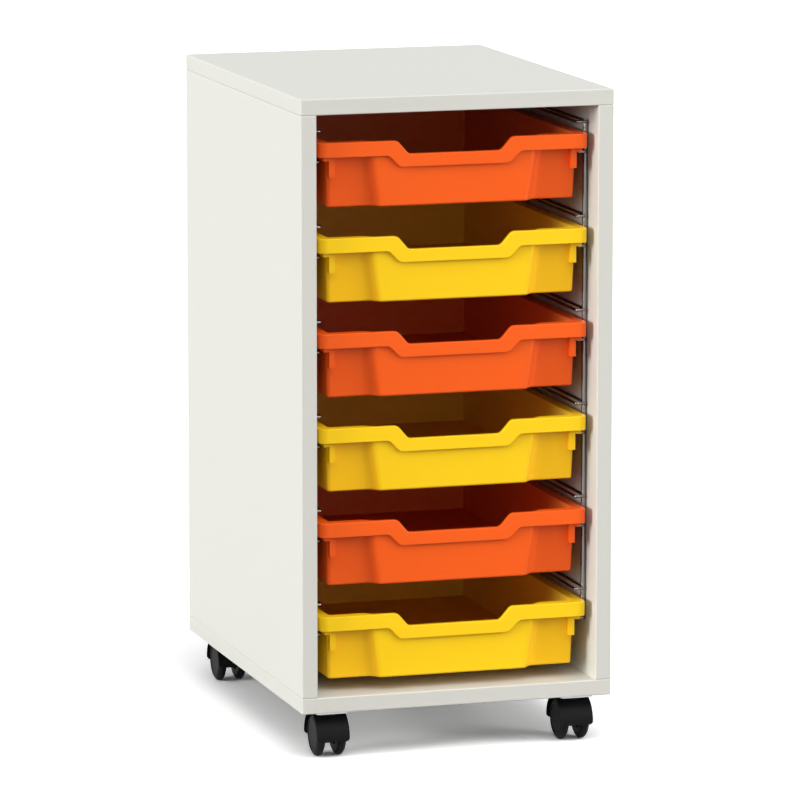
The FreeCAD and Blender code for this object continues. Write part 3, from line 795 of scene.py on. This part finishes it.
@dataclass
class RunnerFrames:
    """Wire runner frames with their weld beads and screws."""

    top_rim: float = 0.6934
    pitch: float = 0.1064
    levels: int = 6
    upper_loop: float = 0.0110
    lower_loop: float = -0.0226
    post_x: float = 0.1602
    post_places: tuple[float, float] = (-0.2058, 0.2045)
    cross_places: tuple[float, float] = (-0.2096, 0.2083)
    post_radius: float = 0.0029
    bead_radius: float = 0.0013
    bead_stretch: Place = (1.7, 0.9, 0.8)
    bead_reach: float = 0.94
    bead_lift: float = 0.0011
    bead_tilt: float = 0.8
    lug_face_x: float = 0.1613
    lug_middle: float = -0.014
    lug_hole: float = 0.014
    head_radius: float = 0.0034
    head_height: float = 0.0023
    recess_depth: float = 0.0012
    shank_radius: float = 0.00170
    shank_length: float = 0.0150

    def bead_places(self, side: Side) -> list[PlaceAndDirection]:
        """Weld beads above and below every cross wire, where it meets a post."""
        places = []
        for level in range(self.levels):
            rim = self.top_rim - level * self.pitch
            for loop in (rim + self.upper_loop, rim + self.lower_loop):
                for post, cross in zip(self.post_places, self.cross_places):
                    outward = math.copysign(1.0, cross - post)
                    seam = post + outward * self.post_radius * self.bead_reach
                    for up in (-1, 1):
                        height = loop + up * self.bead_lift
                        point = Vector((side.value * self.post_x, seam, height))
                        direction = Vector((0, outward, up * self.bead_tilt)).normalized()
                        places.append((point, direction))
        return places

    def screw_places(self, side: Side) -> list[PlaceAndDirection]:
        """Seats of the four screws of one frame."""
        places = []
        for post, inward in zip(self.post_places, (1, -1)):
            for level in (0, self.levels - 2):
                height = self.top_rim - level * self.pitch + self.lug_middle
                seat = Vector((side.value * self.lug_face_x, post + inward * self.lug_hole, height))
                places.append((seat, Vector((-side.value, 0, 0))))
        return places

    def bead(self) -> bpy.types.Object:
        """One squashed weld bead about its own origin."""
        work = bmesh.new()
        bmesh.ops.create_icosphere(work, subdivisions=2, radius=self.bead_radius)
        bmesh.ops.scale(work, vec=self.bead_stretch, verts=work.verts)
        return object_from("Bead", work)

    def screw(self) -> bpy.types.Object:
        """One pan-head screw, its seat at the origin and its head along +Z."""
        radius, height = self.head_radius, self.head_height
        head = [(radius * 0.97, 0), (radius, height * 0.12), (radius * 0.97, height * 0.45),
                (radius * 0.85, height * 0.75), (radius * 0.62, height * 0.93),
                (radius * 0.3, height), (0, height)]
        shank = shank_profile(self.shank_radius, self.shank_length, 0)
        piece = turned_mesh("Pan head", shank + head, SCREW_SIDES)
        cut_cross(piece, radius * 0.60, height, self.recess_depth)
        return piece

    def build(self, scatter: PieceScatter) -> None:
        """Dress the wire and add beads and screws.

        Args:
            scatter: the tree that repeats a piece.
        """
        # The wire's colour is darkened below bright chrome as painted shade, for the dark
        # surroundings it reflects.
        chrome = Plating("Plated wire", (0.23, 0.215, 0.21), roughness=0.24, spangle=0.0).material()
        zinc = Plating("Screw zinc", (0.62, 0.63, 0.64), roughness=0.26, spangle=0.3,
                       spangle_scale=900.0).material()
        welded = WeldedMetal("Weld bead").material()
        bead = self.bead()
        screw = self.screw()
        for side in Side:
            name = side.name.lower()
            dress([f"{name}_front_post", f"{name}_rear_post", f"{name}_runner_loops"], chrome)
            beads = scatter.scatter(f"{name}_runner_welds", bead, self.bead_places(side), welded,
                                    seed=3 + side.value, largest_turn=0.25, smallest_size=0.8)
            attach(beads, "carcass")
            screws = scatter.scatter(f"{name}_runner_screw_set", screw, self.screw_places(side),
                                     zinc, seed=11 + side.value, largest_turn=math.pi)
            smooth_by_angle(screws)
            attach(screws, "carcass")
            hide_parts(f"{name}_runner_screws")
            LOG.info("%s runner frame has %d faces of beads and screws", name,
                     len(beads.data.polygons) + len(screws.data.polygons))
        for prototype in (bead, screw):
            bpy.data.objects.remove(prototype)


@dataclass
class Trays:
    """The six trays, orange and yellow in turn."""

    count: int = 6
    finishes: tuple[TrayPlastic, ...] = (
        # The body colour is painted shade for the recesses behind each front panel; the scuffed
        # colour makes the inside paler, partly as scuffs and partly as painted light.
        TrayPlastic("Orange tray", colour=(0.945, 0.117, 0.007), deep=(0.915, 0.108, 0.005),
                    body=(0.870, 0.103, 0.006), scuffed_and_painted_light=(0.940, 0.215, 0.045)),
        TrayPlastic("Yellow tray", colour=(1.000, 0.642, 0.008), deep=(0.985, 0.612, 0.006),
                    body=(0.990, 0.560, 0.007), scuffed_and_painted_light=(0.980, 0.650, 0.060)),
    )

    def build(self) -> None:
        """Dress every tray."""
        plastics = [finish.material() for finish in self.finishes]
        for index in range(self.count):
            dress([f"tray_{index + 1}"], plastics[index % len(plastics)])


@dataclass
class Castors:
    """Twin-wheel castors and the screws that hold their plates."""

    stem_x: float = 0.1437
    trail: float = 0.008
    plate_face: float = 0.0525
    hole_offset: float = 0.014
    head_radius: float = 0.0033
    head_height: float = 0.0017
    recess_depth: float = 0.0011
    shank_radius: float = 0.00170
    shank_length: float = 0.0140

    def screw(self) -> bpy.types.Object:
        """One countersunk screw, its head's face at the origin and facing +Z."""
        radius = self.head_radius
        head = [(radius * 0.97, -0.0002), (radius, -0.00008), (radius * 0.95, 0), (0, 0)]
        shank = shank_profile(self.shank_radius, self.shank_length, -self.head_height)
        piece = turned_mesh("Countersunk head", shank + head, SCREW_SIDES)
        cut_cross(piece, radius * 0.62, 0.0, self.recess_depth)
        return piece

    def screw_places(self) -> list[PlaceAndDirection]:
        """Head faces of the sixteen screws."""
        offsets = (-self.hole_offset, self.hole_offset)
        places = []
        for row, side, x, y in itertools.product(Row, Side, offsets, offsets):
            point = Vector((side.value * self.stem_x + x, row.value + y, self.plate_face))
            places.append((point, Vector((0, 0, -1))))
        return places

    def build(self, scatter: PieceScatter) -> None:
        """Dress every castor and add the plates' screws.

        Args:
            scatter: the tree that repeats a piece.
        """
        nylon = BlackNylon("Black nylon").material()
        wheel = RolledTread("Black wheel", Row.FRONT.value + self.trail,
                            Row.REAR.value + self.trail).material()
        steel = Plating("Zinc steel", (0.60, 0.61, 0.62), roughness=0.34, spangle=0.5).material()
        for row, side in itertools.product(Row, Side):
            castor = f"{row.name.lower()}_{side.name.lower()}_castor"
            dress([f"{castor}_hood"], nylon)
            dress([f"{castor}_left_wheel", f"{castor}_right_wheel"], wheel)
            dress([f"{castor}_{piece}" for piece in ("plate", "stem", "grip_ring", "axle")], steel)
        screw = self.screw()
        screws = scatter.scatter("castor_screw_set", screw, self.screw_places(), steel, seed=21,
                                 largest_turn=math.pi)
        bpy.data.objects.remove(screw)
        smooth_by_angle(screws)
        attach(screws, "carcass")
        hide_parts("castor_screws")
        LOG.info("castor screws have %d faces", len(screws.data.polygons))


# Studio

def add_lamp(light: bpy.types.Light, place: Place, towards: Vector) -> None:
    """Put a lamp in place.

    Args:
        light: the lamp's data.
        place: where it is.
        towards: direction from the lit object to the lamp.
    """
    holder = add_object(light.name, light)
    holder.location = place
    holder.rotation_euler = towards.to_track_quat("Z", "Y").to_euler()
    LOG.info("lamp %s", light.name)


@dataclass
class FarLamp:
    """One wide, distant lamp: the same light over the whole floor, with soft shadow edges."""

    name: str
    towards: Place
    spread: float
    strength: float

    def build(self) -> None:
        """Add the lamp."""
        light = bpy.data.lights.new(self.name, "SUN")
        light.angle = math.radians(self.spread)
        light.energy = self.strength
        add_lamp(light, (0, 0, 0), Vector(self.towards))


@dataclass
class Softbox:
    """One large square lamp that looks at a target."""

    name: str
    place: Place
    target: Place
    width: float
    power: float

    def build(self) -> None:
        """Add the lamp."""
        light = bpy.data.lights.new(self.name, "AREA")
        light.shape = "SQUARE"
        light.size = self.width
        light.energy = self.power
        add_lamp(light, self.place, Vector(self.place) - Vector(self.target))


@dataclass
class Studio:
    """Pale floor, white surround, soft lights and the camera."""

    camera_place: Place = (-1.9477, -6.3451, 1.4843)
    camera_azimuth: float = 17.12
    camera_drop: float = 9.59
    lens: float = 262.7
    sensor: float = 36.0
    sight: float = 200.0
    floor_half: float = 60.0
    floor_seen: float = 1.45
    floor_mirrored: float = 1.0
    floor_lit: float = 0.15
    sky: float = 0.30
    lamps: tuple[FarLamp | Softbox, ...] = (
        FarLamp("Overhead light", (-0.04, -0.468, 0.883), 45.0, 0.80),
        FarLamp("Front light", (0.110, -0.781, 0.615), 100.0, 1.50),
        FarLamp("Left key", (-0.970, -0.171, 0.174), 22.0, 2.98),
        Softbox("Right softbox", (2.65, -1.66, 1.07), (0.0, 0.0, 0.4), 1.2, 36.0),
    )

    def add_floor(self) -> None:
        """Pale floor that stays white to the camera and keeps the shadow."""
        work = bmesh.new()
        bmesh.ops.create_grid(work, x_segments=1, y_segments=1, size=self.floor_half)
        floor = object_from("Floor", work)
        graph = Graph("Studio floor")
        path = graph.node("ShaderNodeLightPath").outputs
        mirrored = Value(graph, path["Is Glossy Ray"]).larger(path["Is Transmission Ray"])
        tone = graph.blend(mirrored, (self.floor_lit,) * 3, (self.floor_mirrored,) * 3)
        tone = graph.blend(path["Is Camera Ray"], tone, (self.floor_seen,) * 3)
        shader = graph.node("ShaderNodeBsdfDiffuse", None, {"Color": tone})
        graph.tree.links.new(shader.outputs[0], graph.output.inputs["Surface"])
        floor.data.materials.append(graph.material)

    def add_surround(self) -> None:
        """White surround for the camera and for reflections, softer as a light."""
        world = bpy.data.worlds.new("Surround")
        world.use_nodes = True
        tree = world.node_tree
        tree.nodes.clear()
        path = add_node(tree, "ShaderNodeLightPath").outputs
        white = path["Is Camera Ray"]
        for name in ("Is Glossy Ray", "Is Transmission Ray"):
            white = add_node(tree, "ShaderNodeMath", {"operation": "MAXIMUM"},
                             {0: white, 1: path[name]}).outputs[0]
        strength = add_node(tree, "ShaderNodeMapRange", None,
                            {"To Min": self.sky, "To Max": 1.0, "Value": white})
        background = add_node(tree, "ShaderNodeBackground", None,
                              {"Color": (1, 1, 1, 1), "Strength": strength.outputs[0]})
        add_node(tree, "ShaderNodeOutputWorld", None, {"Surface": background.outputs[0]})
        bpy.context.scene.world = world

    def add_camera(self) -> None:
        """Camera at the viewing angle."""
        lens = bpy.data.cameras.new("Camera")
        lens.lens = self.lens
        lens.sensor_width = self.sensor
        lens.clip_end = self.sight
        camera = add_object("Camera", lens)
        camera.location = self.camera_place
        camera.rotation_euler = (math.radians(90 - self.camera_drop), 0,
                                 -math.radians(self.camera_azimuth))
        bpy.context.scene.camera = camera

    def build(self) -> None:
        """Add the floor, the surround, the lamps and the camera."""
        self.add_floor()
        self.add_surround()
        for lamp in self.lamps:
            lamp.build()
        self.add_camera()
        bpy.context.scene.view_settings.view_transform = "Standard"


def main() -> None:
    """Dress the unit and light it."""
    logging.basicConfig(level=logging.INFO)
    scatter = PieceScatter("Piece scatter")
    Carcass().build()
    RunnerFrames().build(scatter)
    Trays().build()
    Castors().build(scatter)
    Studio().build()
    bpy.data.node_groups.remove(scatter.tree)


if __name__ == "__main__":
    main()
